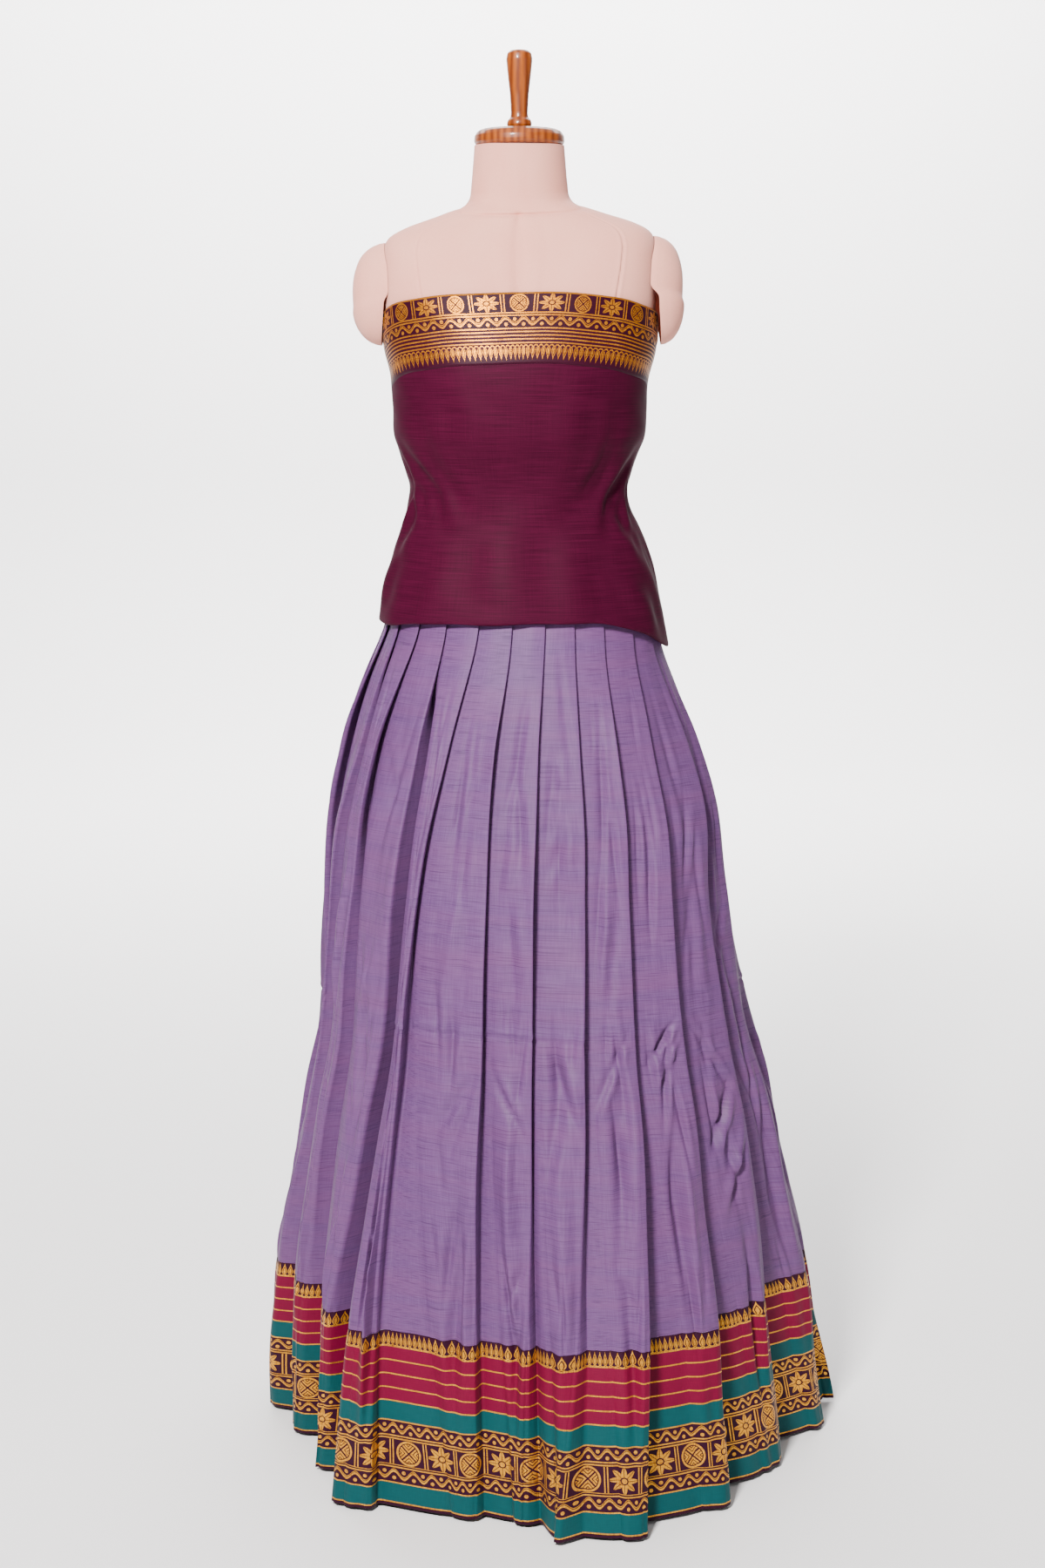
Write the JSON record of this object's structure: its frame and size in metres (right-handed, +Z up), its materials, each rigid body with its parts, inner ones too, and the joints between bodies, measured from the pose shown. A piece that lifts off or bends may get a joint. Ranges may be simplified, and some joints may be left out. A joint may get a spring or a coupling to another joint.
{
  "type": "lehenga choli on dress form",
  "caption": "Lehenga choli on a limbless dress form: knife-pleated lavender silk skirt with a woven border, strapless choli wrap with a zari border, and a plain stand.",
  "frame": {"origin": "on the floor, on the axis of the stand's pole, at the underside of the round base plate", "axes": "+Z up along the pole; -Y is the wearer's front; +X is the wearer's left, where the choli's pointed corner hangs"},
  "size_m": [0.6994, 0.701, 1.6425],
  "materials": {
    "lavender_silk": "plain-woven silk cotton with crosswise slubs, soft sheen",
    "hem_border": "woven silk border with gold-coloured pattern yarn",
    "wine_silk": "fine crosswise weave with a satin sheen",
    "zari_border": "gold-coloured zari woven on dark maroon",
    "form_cloth": "matt cotton cover stretched over padding",
    "varnished_wood": "turned wood, glossy varnish",
    "stand_steel": "brushed steel"
  },
  "bodies": {
    "root": {"skirt_front": "lavender_silk", "skirt_back": "lavender_silk", "hem_border_front": "hem_border", "hem_border_back": "hem_border", "waistband": "lavender_silk", "choli_front": "wine_silk", "choli_back": "wine_silk", "choli_border_front": "zari_border", "choli_border_back": "zari_border", "form_torso": "form_cloth", "arm_cap_left": "form_cloth", "arm_cap_right": "form_cloth", "neck_cap": "varnished_wood", "finial": "varnished_wood", "stand_pole": "stand_steel", "stand_base": "stand_steel"}
  },
  "joints": []
}
